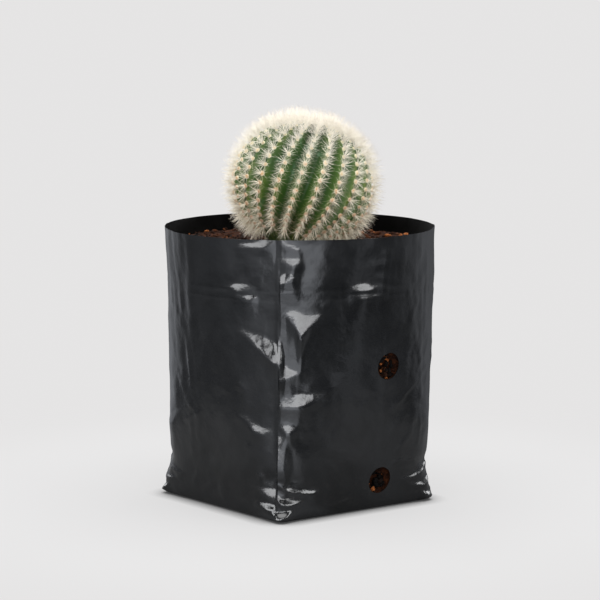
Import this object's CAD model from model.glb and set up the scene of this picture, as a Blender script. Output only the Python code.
# %% [markdown]
# # A round cactus in a film grow bag
# The plant is a globe of ribs. Every rib carries a row of woolly cushions, and every cushion throws
# out a star of thin spines. It stands in coir potting mix in a bag of thin black film, the kind that
# nurseries buy flat, open by hand and fill. This lesson builds four things around a plain solid
# model of the same plant: the creased film, the mix, the ribbed skin, and many thousand spines.
# The solid model gives the places and the sizes, so the first step is to load it and read them.

# %% Load the solid model
from math import atan2, cos, hypot, pi, radians, sin, tan
from random import Random

import bmesh
import bpy
import numpy as np
from mathutils import Matrix, Vector, noise


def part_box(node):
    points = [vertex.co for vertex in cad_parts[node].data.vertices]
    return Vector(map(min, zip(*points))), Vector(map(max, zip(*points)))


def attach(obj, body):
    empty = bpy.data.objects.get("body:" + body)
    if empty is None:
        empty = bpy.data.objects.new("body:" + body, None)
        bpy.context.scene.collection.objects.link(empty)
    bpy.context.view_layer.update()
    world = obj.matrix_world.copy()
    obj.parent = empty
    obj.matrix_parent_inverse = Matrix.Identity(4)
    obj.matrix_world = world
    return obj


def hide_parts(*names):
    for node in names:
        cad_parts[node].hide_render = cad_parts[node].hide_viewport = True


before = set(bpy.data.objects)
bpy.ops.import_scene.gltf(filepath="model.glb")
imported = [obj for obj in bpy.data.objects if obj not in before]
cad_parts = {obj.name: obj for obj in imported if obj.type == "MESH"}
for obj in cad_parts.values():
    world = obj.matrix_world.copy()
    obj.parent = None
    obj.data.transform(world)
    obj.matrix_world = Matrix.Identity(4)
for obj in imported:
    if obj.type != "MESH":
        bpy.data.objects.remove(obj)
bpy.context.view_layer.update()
bag_low, bag_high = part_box("grow_bag")
soil_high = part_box("potting_soil")[1]
print("bag", [round(1000 * v, 1) for v in bag_high - bag_low], "mm")
print("top of the mix", round(1000 * soil_high.z, 1), "mm up")

# %% [markdown]
# ## Camera
# A long lens from well back keeps the sides of the bag nearly parallel, as a maker's catalogue does.
# Black film has almost no colour of its own, so what it looks like is what it reflects. That is why
# the camera is set first, and the floor, the room and the lights after it.

# %% Camera
LOOK_AROUND = radians(-37.8)
LOOK_DOWN = radians(7.685)
CAMERA_AWAY = 1.336
LENS = 167.3
AIM = Vector((0.0010, -0.0008, 0.0953))


def direction(heading, rise):
    """Unit vector towards a heading, measured from +X, and a rise above the horizon."""
    return Vector((cos(heading) * cos(rise), sin(heading) * cos(rise), sin(rise)))


towards_camera = direction(LOOK_AROUND - pi / 2, LOOK_DOWN)
camera = bpy.data.objects.new("camera", bpy.data.cameras.new("camera"))
camera.data.lens = LENS
camera.data.sensor_width = 36
camera.location = AIM + towards_camera * CAMERA_AWAY
camera.rotation_euler = towards_camera.to_track_quat("Z", "Y").to_euler()
bpy.context.scene.collection.objects.link(camera)
bpy.context.scene.camera = camera
bpy.context.scene.view_settings.view_transform = "Standard"
print("camera: a", LENS, "mm lens,", CAMERA_AWAY, "m away")

# %% [markdown]
# ## Floor
# The floor is a round of pale paper. A shape is built as a bmesh, the form of a mesh that can still
# be edited, then stored as a mesh and shown by an object.

# %% A round of paper
FLOOR_RADIUS = 0.27


def stored_mesh(name, bm):
    """Store a bmesh as a mesh, and let go of the bmesh."""
    mesh = bpy.data.meshes.new(name)
    bm.to_mesh(mesh)
    bm.free()
    return mesh


def add_object(name, mesh):
    """An object at the origin that shows a mesh, or shines if it is given a lamp."""
    made = bpy.data.objects.new(name, mesh)
    bpy.context.scene.collection.objects.link(made)
    return made


floor_bm = bmesh.new()
bmesh.ops.create_circle(floor_bm, cap_ends=True, segments=96, radius=FLOOR_RADIUS)
floor_mesh = stored_mesh("floor", floor_bm)
floor = add_object("floor", floor_mesh)
floor.location.z = -0.0002
print("floor:", round(2 * FLOOR_RADIUS, 2), "m across")

# %% [markdown]
# ## Helpers for node trees
# A material is a tree of nodes that pass values along to its shader. Adding a node and joining its
# inputs takes many lines, so small helpers do it. The first one gives any node its inputs, and the
# others build on it. The paper's material is started here, with no gloss at all.

# %% Helpers for node trees


def set_inputs(tree, node, **values):
    """Give a node its inputs, by name or as _number. Another node's output is joined to the input."""
    for name, value in values.items():
        socket = node.inputs[int(name[1:])] if name[0] == "_" else node.inputs[name.replace("_", " ")]
        if isinstance(value, bpy.types.NodeSocket):
            tree.links.new(value, socket)
        else:
            socket.default_value = value


def add_node(tree, kind, **values):
    """Add a node; each value sets one of its properties or one of its inputs."""
    made = tree.nodes.new(kind)
    settings = [name for name in values if name in made.bl_rna.properties]
    for name in settings:
        setattr(made, name, values.pop(name))
    set_inputs(tree, made, **values)
    return made


def new_material(name):
    """A new material, its node tree and its shader."""
    made = bpy.data.materials.new(name)
    made.use_nodes = True
    return made, made.node_tree, made.node_tree.nodes["Principled BSDF"]


floor_look, tree, shader = new_material("floor_paper")
floor_mesh.materials.append(floor_look)
set_inputs(tree, shader, Roughness=1.0, Specular_IOR_Level=0.0)
print("material:", floor_look.name)

# %% [markdown]
# ## Helpers for colours and values
# A few kinds of node come up again and again: a value mapped from one range onto another, a colour
# ramp, a mix of two colours, and a colour made brighter or darker. Each gets one short line to use it.

# %% Helpers for colours and values


def map_value(tree, value, start, end, low=0.0, high=1.0, **more):
    """A value's range from start to end, mapped onto low to high."""
    return add_node(tree, "ShaderNodeMapRange", Value=value, From_Min=start, From_Max=end,
                    To_Min=low, To_Max=high, **more).outputs["Result"]


def ramp(tree, factor, *stops):
    """A colour ramp through (position, colour) stops."""
    made = add_node(tree, "ShaderNodeValToRGB", Fac=factor)
    elements = made.color_ramp.elements
    while len(elements) < len(stops):
        elements.new(0.5)
    for element, (place, colour) in zip(elements, stops):
        element.position = place
        element.color = (*colour, 1)
    return made.outputs["Color"]


def mix(tree, share, first, second, blend="MIX"):
    """Two colours mixed by a share, which is 0 for the first and 1 for the second."""
    made = add_node(tree, "ShaderNodeMix", data_type="RGBA", blend_type=blend,
                    _0=share, _6=first, _7=second)
    return made.outputs[2]


def multiplied(tree, first, second):
    """One colour tinted by another."""
    return mix(tree, 1.0, first, second, "MULTIPLY")


def scaled(tree, colour, by):
    """A colour made brighter or darker by a value."""
    return add_node(tree, "ShaderNodeVectorMath", operation="SCALE", Vector=colour, Scale=by).outputs[0]


def object_place(tree):
    """Where each point lies in the object's own space."""
    return add_node(tree, "ShaderNodeTexCoord").outputs["Object"]


print("helpers:", [step.__name__ for step in (map_value, ramp, mix, multiplied, scaled, object_place)])

# %% [markdown]
# ## A glow along the horizon
# Flat black film looks like whatever lies low and level with it, because that is what it mirrors. So
# the floor and the room share one band of glow that changes with the heading: bright where a face of
# the bag should look silvery, and dark between. A short table of headings and tones gives the band.

# %% Glow by heading
# headings in degrees from +X, and how bright the band is there
HORIZON_GLOW = [
    (-180, 0.22), (-166, 0.28), (-152, 0.31), (-144, 0.92), (-113, 0.92), (-103, 0.08), (-84, 0.04),
    (-78, 0.07), (-72, 0.20), (-64, 0.20), (-57, 0.06), (-36, 0.05), (-18, 0.13), (8, 0.13),
    (26, 0.05), (60, 0.06), (76, 0.17), (100, 0.17), (112, 0.07), (148, 0.09), (168, 0.16), (180, 0.22),
]
GLOW_TINT = (0.94, 0.98, 1.06)


def glow_by_heading(tree, towards):
    """The band's colour at the heading of a vector."""
    split = add_node(tree, "ShaderNodeSeparateXYZ", Vector=towards)
    heading = add_node(tree, "ShaderNodeMath", operation="ARCTAN2",
                       _0=split.outputs["Y"], _1=split.outputs["X"]).outputs[0]
    stops = [((at + 180) / 360, tuple(glow * tint for tint in GLOW_TINT)) for at, glow in HORIZON_GLOW]
    return ramp(tree, map_value(tree, heading, -pi, pi), *stops)


print("glow:", len(HORIZON_GLOW), "headings, brightest", max(glow for _, glow in HORIZON_GLOW))

# %% [markdown]
# ## The paper's finish
# The paper takes a little real light, so that the plant sits in it, and glows by itself for the rest,
# so that it stays one even tone. Mirrored in the film it shows the band of glow instead, which fades
# towards the foot of the bag. An ambient occlusion node darkens the paper round the foot, and that
# gives the narrow soft shadow of something that stands on it.

# %% Paper
FLOOR_TONE = 0.787
FLOOR_OWN_LIGHT = 0.553
PAPER_TINT = (1.0, 0.990, 0.990)
place = object_place(tree)
away = add_node(tree, "ShaderNodeVectorMath", operation="LENGTH", _0=place).outputs["Value"]
edge = map_value(tree, away, 0.13, 0.26, interpolation_type="SMOOTHSTEP")
paper = ramp(tree, edge, (0.0, (0.10, 0.10, 0.10)), (1.0, (0, 0, 0)))
mirrored_glow = scaled(tree, glow_by_heading(tree, place), map_value(tree, away, 0.09, 0.27, 0.22, 2.0))
own_glow = scaled(tree, PAPER_TINT, map_value(tree, edge, 0.0, 1.0, FLOOR_OWN_LIGHT, FLOOR_TONE))
seen = add_node(tree, "ShaderNodeLightPath").outputs["Is Camera Ray"]
foot = add_node(tree, "ShaderNodeAmbientOcclusion", samples=12, Distance=0.009).outputs["AO"]
set_inputs(tree, shader, Base_Color=paper, Emission_Color=mix(tree, seen, mirrored_glow, own_glow),
           Emission_Strength=map_value(tree, foot, 0.32, 1.0, 0.04, 1.0))
print("paper: tone", FLOOR_TONE, "of which it gives", FLOOR_OWN_LIGHT, "by itself")

# %% [markdown]
# ## The room
# Beyond the paper the room shows the same even tone. Anything that only catches the room, as gloss
# does, gets a dim room with a bright ceiling and the band of glow along the horizon. The band fades
# out upwards, and it is weaker well below the horizon, where little of the room is mirrored.

# %% Room
ROOM_TONE = 0.04
CEILING_TONE = 4.6
world = bpy.data.worlds.new("studio")
world.use_nodes = True
bpy.context.scene.world = world
tree = world.node_tree
towards = add_node(tree, "ShaderNodeTexCoord").outputs["Generated"]
rise = add_node(tree, "ShaderNodeSeparateXYZ", Vector=towards).outputs["Z"]
low = map_value(tree, rise, sin(radians(2)), sin(radians(16)), 1.0, 0.0, interpolation_type="SMOOTHSTEP")
high = map_value(tree, rise, sin(radians(38)), sin(radians(64)), ROOM_TONE, CEILING_TONE,
                 interpolation_type="SMOOTHSTEP")
below = map_value(tree, rise, sin(radians(-25)), sin(radians(-13)), 1.0, 2.3)
share = add_node(tree, "ShaderNodeMath", operation="MULTIPLY", _0=low, _1=below).outputs[0]
band = scaled(tree, glow_by_heading(tree, towards), share)
room = add_node(tree, "ShaderNodeVectorMath", operation="ADD", _0=band, _1=high).outputs[0]
seen = add_node(tree, "ShaderNodeLightPath").outputs["Is Camera Ray"]
backdrop = (FLOOR_TONE, FLOOR_TONE * 0.99, FLOOR_TONE * 0.99, 1)
set_inputs(tree, tree.nodes["Background"], Color=mix(tree, seen, room, backdrop))
print("room: tone", ROOM_TONE, "and ceiling", CEILING_TONE)

# %% [markdown]
# ## Soft lights
# Each light is a wide low panel a few metres off, so it lights the plant evenly and shows in the
# film as a clean bright patch wherever a fold tips the surface up far enough to see it. Three panels
# serve the front, and two behind do the same for the back of the bag.

# %% Lights
PANEL_AWAY = 5.0
COOL, NEUTRAL = (0.97, 0.98, 1.0), (0.98, 0.99, 1.0)


def soft_light(name, heading, rise, half_width, half_height, brightness, tint):
    """A panel at a heading and rise, with its half sizes in degrees; brightness is its radiance."""
    width, height = (2 * PANEL_AWAY * tan(radians(half)) for half in (half_width, half_height))
    lamp = bpy.data.lights.new(name, "AREA")
    lamp.shape = "RECTANGLE"
    lamp.size = width
    lamp.size_y = height
    lamp.energy = brightness * pi * width * height
    lamp.color = tint
    holder = add_object(name, lamp)
    aim = direction(radians(heading), radians(rise))
    holder.location = Vector((0, 0, 0.08)) + aim * PANEL_AWAY
    holder.rotation_euler = aim.to_track_quat("Z", "Y").to_euler()


soft_light("front_panel", -121, 15, 25, 8.5, 7.0, COOL)
soft_light("left_panel", -188, 15, 29, 8.5, 6.6, COOL)
soft_light("right_panel", -58, 15, 21, 8.5, 7.0, NEUTRAL)
soft_light("right_back_panel", 2, 17, 24, 8.0, 6.5, NEUTRAL)
soft_light("left_back_panel", 88, 17, 24, 8.0, 8.5, COOL)
print("lights:", [lamp.name for lamp in bpy.data.lights])

# %% [markdown]
# ## Patches of two tones
# Nothing that grows or is handled has one flat colour. Several materials need the same effects, so
# each effect is a node group that is built once and used with other values each time. The first,
# "mottle", spreads two tones in soft patches.

# %% Group for patches
FLOAT, COLOUR, VECTOR = "NodeSocketFloat", "NodeSocketColor", "NodeSocketVector"


def new_group(name, inputs, outputs):
    """A node group with named inputs and outputs, and the two nodes that stand for them inside."""
    group = bpy.data.node_groups.new(name, "ShaderNodeTree")
    for label, kind, value in inputs:
        socket = group.interface.new_socket(label, in_out="INPUT", socket_type=kind)
        if value is not None:
            socket.default_value = value
    for label, kind in outputs:
        group.interface.new_socket(label, in_out="OUTPUT", socket_type=kind)
    return group, group.nodes.new("NodeGroupInput").outputs, group.nodes.new("NodeGroupOutput")


def clouds(tree, place, scale, detail, roughness=0.5):
    """Soft noise between 0 and 1."""
    return add_node(tree, "ShaderNodeTexNoise", Vector=place, Scale=scale, Detail=detail,
                    Roughness=roughness).outputs["Fac"]


mottle, given, result = new_group("mottle", [
    ("Vector", VECTOR, None), ("Size", FLOAT, 100.0), ("Light", COLOUR, None), ("Dark", COLOUR, None),
    ("Low", FLOAT, 0.35), ("High", FLOAT, 0.65)], [("Color", COLOUR), ("Mask", FLOAT)])
patches = clouds(mottle, given["Vector"], given["Size"], 4.0, 0.6)
mask = map_value(mottle, patches, given["Low"], given["High"])
set_inputs(mottle, result, Color=mix(mottle, mask, given["Dark"], given["Light"]), Mask=mask)
print("group:", mottle.name, [socket.name for socket in mottle.interface.items_tree])

# %% [markdown]
# ## Rough surfaces
# "grit" gives a height for a bump at two sizes at once: lumps, and finer grains on top of them.

# %% Group for roughness


def worked_out(tree, operation, first, second):
    """One sum on two values, such as ADD or MULTIPLY."""
    return add_node(tree, "ShaderNodeMath", operation=operation, _0=first, _1=second).outputs[0]


grit, given, result = new_group("grit", [
    ("Vector", VECTOR, None), ("Coarse", FLOAT, 300.0), ("Fine", FLOAT, 1200.0),
    ("Fine share", FLOAT, 0.4)], [("Height", FLOAT)])
coarse = clouds(grit, given["Vector"], given["Coarse"], 3.0)
fine = clouds(grit, given["Vector"], given["Fine"], 2.0)
height = worked_out(grit, "ADD", coarse, worked_out(grit, "MULTIPLY", fine, given["Fine share"]))
set_inputs(grit, result, Height=height)
print("group:", grit.name, [socket.name for socket in grit.interface.items_tree])

# %% [markdown]
# ## Dust
# "dust" gives a mask of fine pale specks that is strongest low down, where watering splashes the bag.
# After it come the two helpers that place a group in a material and join a height to the shader.

# %% Group for dust
dust, given, result = new_group("dust", [
    ("Vector", VECTOR, None), ("Reach", FLOAT, 0.05), ("Amount", FLOAT, 0.5)], [("Mask", FLOAT)])
height = add_node(dust, "ShaderNodeSeparateXYZ", Vector=given["Vector"]).outputs["Z"]
low = map_value(dust, height, 0.0, given["Reach"], 1.0, 0.25)
specks = map_value(dust, clouds(dust, given["Vector"], 900.0, 6.0, 0.75), 0.52, 0.78)
spread = worked_out(dust, "MULTIPLY", low, specks)
set_inputs(dust, result, Mask=worked_out(dust, "MULTIPLY", spread, given["Amount"]))


def use_group(tree, group, **values):
    """Place a shared group in a material with its own values; its outputs come back by name."""
    made = tree.nodes.new("ShaderNodeGroup")
    made.node_tree = group
    set_inputs(tree, made, **values)
    return made.outputs


def add_bump(tree, shader, height, strength, distance):
    """Let a height tilt the light on a surface, as small lumps would."""
    bump = add_node(tree, "ShaderNodeBump", Height=height, Strength=strength, Distance=distance)
    set_inputs(tree, shader, Normal=bump.outputs["Normal"])


print("group:", dust.name, [socket.name for socket in dust.interface.items_tree])

# %% [markdown]
# ## Black film
# Polythene film is coloured through with carbon, and its surface is smooth but never flat: the mix
# behind it prints a fine orange peel. The colour is close to black, and the shader's own gloss does
# the rest. The inside is the same film with a bloom of coir dust on it, so it shows no gloss at all.

# %% Film materials
film_look, tree, shader = new_material("black_film")
place = object_place(tree)
tone = use_group(tree, mottle, Vector=place, Size=26.0, Light=(0.0050, 0.0054, 0.0060, 1),
                 Dark=(0.0024, 0.0026, 0.0029, 1))["Color"]
specks = use_group(tree, dust, Vector=place, Reach=0.035, Amount=0.10)["Mask"]
haze = use_group(tree, mottle, Vector=place, Size=90.0)["Mask"]
set_inputs(tree, shader, Base_Color=mix(tree, specks, tone, (0.16, 0.14, 0.12, 1)), IOR=1.58,
           Roughness=map_value(tree, haze, 0.0, 1.0, 0.12, 0.23))
peel = use_group(tree, grit, Vector=place, Coarse=330.0, Fine=900.0, Fine_share=0.12)["Height"]
add_bump(tree, shader, peel, 0.22, 0.0006)

inside_look, tree, shader = new_material("film_inside")
tone = use_group(tree, mottle, Vector=object_place(tree), Size=60.0, Light=(0.0011, 0.0008, 0.0006, 1),
                 Dark=(0.0005, 0.0004, 0.0003, 1))["Color"]
set_inputs(tree, shader, Base_Color=tone, Roughness=0.6, Specular_IOR_Level=0.03)
print("film materials:", film_look.name, inside_look.name)

# %% [markdown]
# ## The bag's sections
# The bag starts as a flat tube of film. Opened and filled, its base is nearly square and its mouth is
# round, because nothing holds the corners up there. A section is a superellipse: two numbers, the
# distance to the middle of a face and the distance to a corner, give every shape between the two. The
# corner is pinched in just over the base, where the film folds under to make its floor.

# %% Sections of the bag
MM = 0.001
BAG_HEIGHT = bag_high.z
MOUTH = bag_high.x / 0.0645          # 1 while the solid model's mouth is 129 mm across
# height, distance to the middle of a face, distance to a corner
SECTIONS = MM * np.array([
    (0.0, 44.8, 63.6), (0.5, 46.0, 65.2), (1.3, 46.7, 65.4), (2.6, 47.1, 64.4), (5.0, 47.6, 63.2),
    (8.0, 48.1, 62.7), (12.0, 48.8, 62.0), (15.5, 49.4, 61.0), (19.0, 49.9, 60.9), (24.0, 50.6, 61.3),
    (45.0, 53.4, 61.5), (75.0, 57.2, 62.0), (105.0, 61.4, 62.9), (120.0, 63.4, 63.8),
    (BAG_HEIGHT / MM, 64.3, 64.2)])


def ease(value):
    """A soft step from 0 to 1."""
    value = np.clip(value, 0, 1)
    return value * value * (3 - 2 * value)


def bag_point(turn, height, inset=0.0):
    """Points of the bag's smooth section at a turn and height, and their outward directions."""
    face = np.interp(height, SECTIONS[:, 0], SECTIONS[:, 1] * MOUTH) - inset
    corner = np.interp(height, SECTIONS[:, 0], SECTIONS[:, 2] * MOUTH)
    corner = corner - inset * (1 + 0.42 * ease((corner / face - 1) / 0.3))
    power = 1 / (0.5 - np.clip(np.log2(corner / face), 0.0, 0.475))
    c, s = np.cos(turn), np.sin(turn)
    reach = face / (np.abs(c) ** power + np.abs(s) ** power) ** (1 / power)
    x, y = reach * c, reach * s
    out_x = np.sign(c) * np.abs(x) ** (power - 1)
    out_y = np.sign(s) * np.abs(y) ** (power - 1)
    size = np.hypot(out_x, out_y)
    drift = 0.0012 * (height / BAG_HEIGHT)          # the mouth sits a little to one side
    x = x + drift * cos(LOOK_AROUND)
    y = y + drift * sin(LOOK_AROUND)
    return x, y, out_x / size, out_y / size


print("base and mouth, face to face:", [round(2e3 * SECTIONS[row, 1], 1) for row in (1, -1)], "mm")

# %% [markdown]
# ## Tools for folds
# Film keeps every fold that it ever had, and filling it pushes small pillows out between the folds. A
# cloth simulation would give other folds on each run, so the folds are drawn by hand, in degrees
# round from the front corner and millimetres up. A crease is a ridge or a groove along a line. A
# shelf is a facet that faces up a little, as the top of a pillow does: below its top line the film
# slopes out, and below its bottom line it eases back.

# %% Tools that push the film
PER_DEGREE = 1.09            # millimetres of film in one degree round
BAG_RADIUS = 62.5            # millimetres from the bag's middle to its film, on average


def wrap(degrees):
    """The same heading between -180 and 180 degrees."""
    return (degrees + 180) % 360 - 180


def crease(around, up, points, height, width):
    """A fold along a line of (degrees, mm) points; a positive height stands out of the film."""
    nearest = np.full(around.shape, 1e9)
    for (a0, z0), (a1, z1) in zip(points, points[1:]):
        px, pz = wrap(around - a0) * PER_DEGREE, up - z0
        lx, lz = wrap(a1 - a0) * PER_DEGREE, z1 - z0
        part = np.clip((px * lx + pz * lz) / (lx * lx + lz * lz), 0, 1)
        nearest = np.minimum(nearest, np.hypot(px - part * lx, pz - part * lz))
    return height * np.exp(0.3 - np.hypot(nearest / width, 0.3))


def shelf(around, up, at, top, bottom, slope=0.25, tail=8.0, soft=0.7):
    """A facet that faces up, between a top and a bottom line over a stretch of degrees."""
    local = wrap(around)
    inside = ease((local - at[0]) / 0.7 + 0.3) * ease((at[-1] - local) / soft + 0.3)
    top_line, bottom_line = np.interp(local, at, top), np.interp(local, at, bottom)
    facet = np.clip(top_line - bottom_line, 0, None)
    depth = np.clip(top_line - up, 0, None)
    back = np.exp(-np.clip(bottom_line - up, 0, None) / tail)
    return inside * 1.12 * slope * np.minimum(depth, facet) * back


def lumps(around, up, size, seed):
    """Smooth noise over the film, with a given size of lump in mm."""
    angle = np.radians(around)
    ring = BAG_RADIUS / size
    spots = np.stack([ring * np.cos(angle), ring * np.sin(angle), up / size + seed], axis=-1).reshape(-1, 3)
    return np.array([noise.noise(Vector(spot)) for spot in spots]).reshape(around.shape)


ridge = crease(np.array([0.0, 1.0, 3.0]), np.full(3, 50.0), [(0, 0), (0, 100)], 1.0, 1.0)
print("a ridge of 1 mm, at its line and 1 and 3 degrees off it:", np.round(ridge, 2))

# %% [markdown]
# ## Shelves beside the front corner
# Most of the bag's pillows hang on the front corner, where the film was pressed flat the longest.
# Every entry gives the stretch of degrees, the top line and the bottom line of one lit facet. The
# other corners borrow the same facets, mirrored and moved, because the same hands filled them.

# %% Shelves
FRONT_RIGHT = [
    ((0.4, 3, 6, 9.5), (131, 131, 130, 127), (129.6, 127.9, 126.8, 126.0), 0.23),
    ((0.8, 6, 10), (123.0, 123.2, 122.9), (122.0, 119.4, 122.4), 0.22),
    ((2.0, 7.0, 11.0), (118.6, 119.6, 121.4), (117.8, 118.6, 120.6), 0.20),
    ((0.4, 2.6, 5.3, 8.6), (114.8, 117.0, 117.0, 114.6), (110.9, 111.2, 112.4, 114.2), 0.23),
    ((0.3, 4.0, 9.0), (108.8, 108.2, 107.9), (106.6, 107.2, 107.6), 0.25),
    ((0.4, 3.0, 5.0, 7.3, 9.2, 9.9, 13.3, 18.7), (95.0, 98.4, 99.2, 99.1, 98.6, 98.4, 97.6, 97.4),
     (93.6, 96.4, 93.5, 90.6, 84.0, 86.5, 91.5, 96.6), 0.23),
    ((-0.48, 1.2, 2.6), (87.0, 85.0, 77.0), (74.0, 74.0, 74.0), 0.19),
    ((0.3, 1.6, 9.2), (75.6, 73.6, 69.9), (65.6, 66.0, 69.3), 0.24),
    ((-0.2, 2.6, 8.4, 15, 20.0), (54.8, 59.4, 60.3, 60.4, 61.0), (53.9, 53.6, 53.0, 55.8, 60.0), 0.23),
    ((1.0, 3.8, 5.2, 8.6), (45.9, 46.6, 46.4, 44.6), (45.0, 41.0, 41.3, 44.0), 0.24),
    ((-0.2, 3.0, 5.5), (42.0, 41.0, 34.0), (20.5, 20.5, 24.0), 0.125, 8.0, 5.0),
]
FRONT_LEFT = [
    ((-18.5, -8, -1.6), (128.6, 130.6, 131), (127.6, 127.2, 129.6), 0.27),
    ((-13.5, -8), (122.8, 122.9), (122.0, 122.0), 0.20),
    ((-13.5, -6), (119.4, 119.6), (118.8, 118.8), 0.20),
    ((-12, -7), (115.6, 115.8), (115.0, 115.0), 0.18),
    ((-23, -19, -14, -10), (109.2, 110.8, 110.8, 109.0), (108.3, 107.1, 107.1, 108.3), 0.26),
    ((-20.0, -14.5, -12.5, -9.0), (105.6, 105.9, 105.9, 105.5), (104.8, 102.9, 102.9, 104.6), 0.25),
    ((-18.9, -15.8, -10.1, -6.8, -2.6, -0.2), (89.8, 89.2, 88.0, 86.9, 84.6, 83.5),
     (89.2, 87.2, 82.0, 79.2, 74.6, 73.0), 0.23),
    ((-20.7, -17, -14), (65.4, 65.1, 62.1), (64, 62, 60.4), 0.20),
    ((-21.5, -16, -12.3, -6.6, -2.4), (49.3, 49.0, 46.6, 44.2, 43.1), (48.7, 46.4, 41.6, 40.3, 42.3), 0.22),
]
FACES = [
    ((29, 34, 39, 43), (109.2, 110.4, 110.4, 108.6), (108.2, 106.9, 106.9, 107.8), 0.33),
    ((30.0, 36, 42, 50), (105.6, 105.8, 105.3, 104.6), (104.9, 102.9, 103.7, 104.2), 0.37),
    ((43, 46, 51), (109.8, 109.7, 108.2), (108.8, 107.8, 107.4), 0.30),
    ((45.6, 48.5), (128.5, 126), (127.9, 123.6), 0.32),
    ((40, 49), (120.0, 120.8), (119.2, 119.6), 0.27),
    ((43, 49), (115.2, 114.2), (114.0, 112.2), 0.29),
]


def mirrored(shelves):
    """The same shelves on the other side of a corner."""
    return [(tuple(-a for a in reversed(at)), tuple(reversed(top)), tuple(reversed(bottom)), *more)
            for at, top, bottom, *more in shelves]


print("shelves beside the front corner:", len(FRONT_RIGHT) + len(FRONT_LEFT))

# %% [markdown]
# ## Creases of the bag
# The tube was pressed along four edges, so each corner keeps a sharp one: steep on one side and flat
# on the other, as film that was folded one way only. Each face has the softer line down its middle
# where the side gussets met, the stack of bags was bent along two lines round the top, and under each
# corner the floor of the bag folds into an ear. Finer crinkles run beside them.

# %% Creases
# where an edge runs, which of its sides is steep, and how far the mix pushes it out
MACHINE_EDGES = [(0, -1, 0.0), (90, 1, 0.8), (180, -1, 0.6), (-90, -1, 0.3)]
FACE_LINES = [
    [(49.8, 131), (52.6, 100), (54.6, 69), (57.4, 14)],
    [(-44.1, 131), (-48.6, 100), (-58, 50), (-62, 24)],
    [(131, 131), (133, 100), (130, 50), (128, 18)],
    [(-136, 131), (-134, 90), (-137, 40), (-138, 18)],
]
# the line of each crinkle, and how far it stands out
CRINKLES = [
    ([(-45, 131), (-46, 112), (-48, 84)], 0.40), ([(-48, 131), (-49, 106), (-50, 88)], 0.36),
    ([(-53, 131), (-54, 108)], 0.36), ([(-62, 131), (-60, 92)], -0.30),
    ([(-57, 112), (-55, 70)], 0.34), ([(-51, 90), (-50, 58)], 0.36),
    ([(-66, 131), (-68, 96)], 0.30), ([(66, 131), (67, 112), (70, 100)], 0.34),
    ([(70, 126), (72, 104)], 0.30), ([(57, 126), (58, 108)], 0.24),
    ([(-68, 64), (-61, 50), (-53, 44)], 0.42), ([(-64, 40), (-50, 46)], 0.32),
    ([(62, 49), (70, 57), (84, 66)], 0.42), ([(59, 78), (65, 86), (71, 99)], 0.32),
    ([(64, 104), (70, 86), (77, 70)], 0.34), ([(68, 28), (74, 34), (76, 48)], 0.40),
    ([(60, 16), (68, 22), (80, 21)], 0.36), ([(74, 110), (76, 78), (80, 52)], 0.30),
    ([(24, 4.5), (36, 6.0), (48, 11)], 0.30), ([(-40, 6), (-28, 9), (-16, 8)], 0.24),
]
STACK_FOLDS = [107.6, 103.4]
EAR_LINE = ([(-0.3, 18.4), (2.6, 15.6), (6.3, 13.8), (11, 12.7), (16.8, 12.6)], 0.55, 0.85)
EAR = [
    ((0.1, 1.6, 3.2, 5.4, 9.0, 16.6), (12.8, 11.6, 10.6, 10.2, 9.8, 12.5),
     (12.2, 9.0, 8.0, 8.0, 8.8, 12.2), 0.34),
    ((-0.2, 1.4, 3.4, 6.6), (2.4, 4.6, 5.9, 6.2), (0.7, 1.6, 3.0, 5.9), 0.34),
    ((-12.8, -9.0, -4.0, -0.9), (8.3, 8.8, 8.4, 8.0), (8.0, 6.4, 5.2, 5.6), 0.32),
    ((-10.6, -8, -6.3), (23.0, 23.0, 22.3), (22.2, 19.6, 21.9), 0.30),
]
print("creases:", len(MACHINE_EDGES) + len(FACE_LINES) + len(CRINKLES) + len(STACK_FOLDS))

# %% [markdown]
# ## Corners
# A corner is more than its edge. It is pinched in just over the ear, and the mix fills it out higher
# up. The edge wanders a little, because no machine folds film quite straight. The print shows how
# far the front edge stands out at three heights.

# %% Push the corners


def corner_push(around, up):
    """The pressed edge of each corner, with the pinch over its ear."""
    push = np.zeros(around.shape)
    for number, (edge, steep, fill) in enumerate(MACHINE_EDGES):
        wander = 0.12 * np.sin(up * 0.21 + number) + 0.10 * np.sin(up * 0.47 + 2 * number)
        along = wrap(around - edge) * PER_DEGREE * steep + wander
        crest = np.where(along > 0, np.exp(-(along / 1.6) ** 1.5), np.exp(along / 6.5))
        push += (0.45 + 0.45 * ease((128 - up) / 20) + 0.15 * ease((60 - up) / 40)) * crest
        push -= 0.75 * np.exp(-((up - 20.0) / 2.8) ** 2) * np.exp(-(along / 9.0) ** 2)
        filled_out = fill * np.exp(-(wrap(around - edge) / 26) ** 2)
        push += filled_out * ease((up - 18) / 25) * ease((125 - up) / 25)
        points, height, width = EAR_LINE
        push += crease(around, up, [(edge - steep * a, z) for a, z in points], height, width)
        for at, top, bottom, slope in (EAR if steep < 0 else mirrored(EAR)):
            push += shelf(around - edge, up, at, top, bottom, slope, 2.5)
    return push


heights = np.array([20.0, 60.0, 120.0])
print("front edge stands out", np.round(corner_push(np.zeros(3), heights), 2), "mm at", heights, "mm")

# %% [markdown]
# ## All the drawn folds together
# A fold's push is simply added to the others. The shelves of the front corner are used again on the
# other three: mirrored or not, moved down or up a little, and weaker or stronger.

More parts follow.
